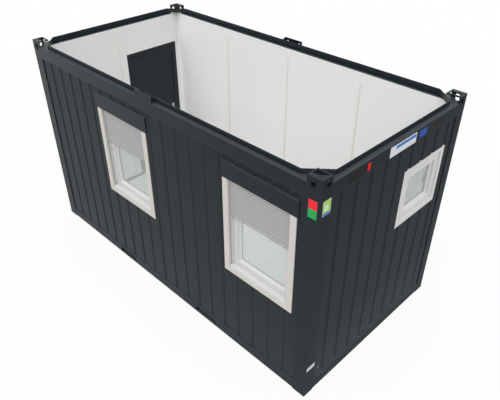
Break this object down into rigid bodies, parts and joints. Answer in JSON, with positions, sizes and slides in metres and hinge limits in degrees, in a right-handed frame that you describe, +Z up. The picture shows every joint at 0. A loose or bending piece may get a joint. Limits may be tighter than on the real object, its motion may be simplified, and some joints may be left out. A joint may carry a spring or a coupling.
{
  "type": "portable site cabin",
  "caption": "Portable steel site cabin with an open top, ribbed sandwich walls, shuttered front windows, a small end window, an end door, hollow lifting corners and fork pockets.",
  "frame": {"origin": "on the ground under the middle of the cabin", "axes": "+X along the length towards the small end window, -Y towards the long wall with the shuttered windows, +Z up"},
  "size_m": [4.885, 2.435, 2.8],
  "materials": {
    "frame_steel": "satin",
    "wall_sheet": "satin",
    "underfloor_steel": "matte",
    "floor_board": "matte",
    "lining_board": "matte",
    "joint_strip": "matte",
    "skirting_board": "matte",
    "window_plastic": "satin",
    "surround_plastic": "satin",
    "window_glass": "clear",
    "shutter_slats": "satin",
    "shutter_box_sheet": "satin",
    "door_sheet": "satin",
    "lever_metal": "satin",
    "threshold_metal": "satin",
    "hinge_steel": "satin",
    "cap_plastic": "matte"
  },
  "bodies": {
    "cabin": {"back_lining": "lining_board", "back_wall": "wall_sheet", "bottom_castings": "frame_steel", "corner_gussets": "frame_steel", "corner_linings": "lining_board", "corner_posts": "frame_steel", "door_frame": "frame_steel", "door_hinges_jamb": "hinge_steel", "door_threshold": "threshold_metal", "end_rails": "frame_steel", "floor_deck": "floor_board", "floor_frame": "underfloor_steel", "fork_pockets": "frame_steel", "front_lining": "lining_board", "front_wall": "wall_sheet", "joint_strips": "joint_strip", "left_lining": "lining_board", "left_wall": "wall_sheet", "lifting_brackets": "frame_steel", "right_lining": "lining_board", "right_wall": "wall_sheet", "service_cap": "cap_plastic", "side_rails": "frame_steel", "skirting": "skirting_board", "top_castings": "frame_steel", "top_rails": "frame_steel", "window_1_frame": "window_plastic", "window_1_pane": "window_glass", "window_1_sash": "window_plastic", "window_1_shutter": "shutter_slats", "window_1_shutter_box": "shutter_box_sheet", "window_1_surround": "surround_plastic", "window_2_frame": "window_plastic", "window_2_pane": "window_glass", "window_2_sash": "window_plastic", "window_2_shutter": "shutter_slats", "window_2_shutter_box": "shutter_box_sheet", "window_2_surround": "surround_plastic", "window_3_frame": "window_plastic", "window_3_pane": "window_glass", "window_3_sash": "window_plastic"},
    "door": {"door_leaf": "door_sheet", "door_hinges_leaf": "hinge_steel", "door_lock_plates": "lever_metal"},
    "lever": {"door_lever": "lever_metal"}
  },
  "joints": [
    {"name": "door_hinge", "type": "hinge", "parent": "cabin", "child": "door", "pos_m": [-2.4065, 0.153, 1.2], "axis": [0, 0, 1], "range_deg": [0, 100]},
    {"name": "lever_turn", "type": "hinge", "parent": "door", "child": "lever", "pos_m": [-2.379, 0.915, 1.15], "axis": [1, 0, 0], "range_deg": [0, 45], "stiffness_Nm_per_rad": 3, "springref_deg": -20.05}
  ]
}
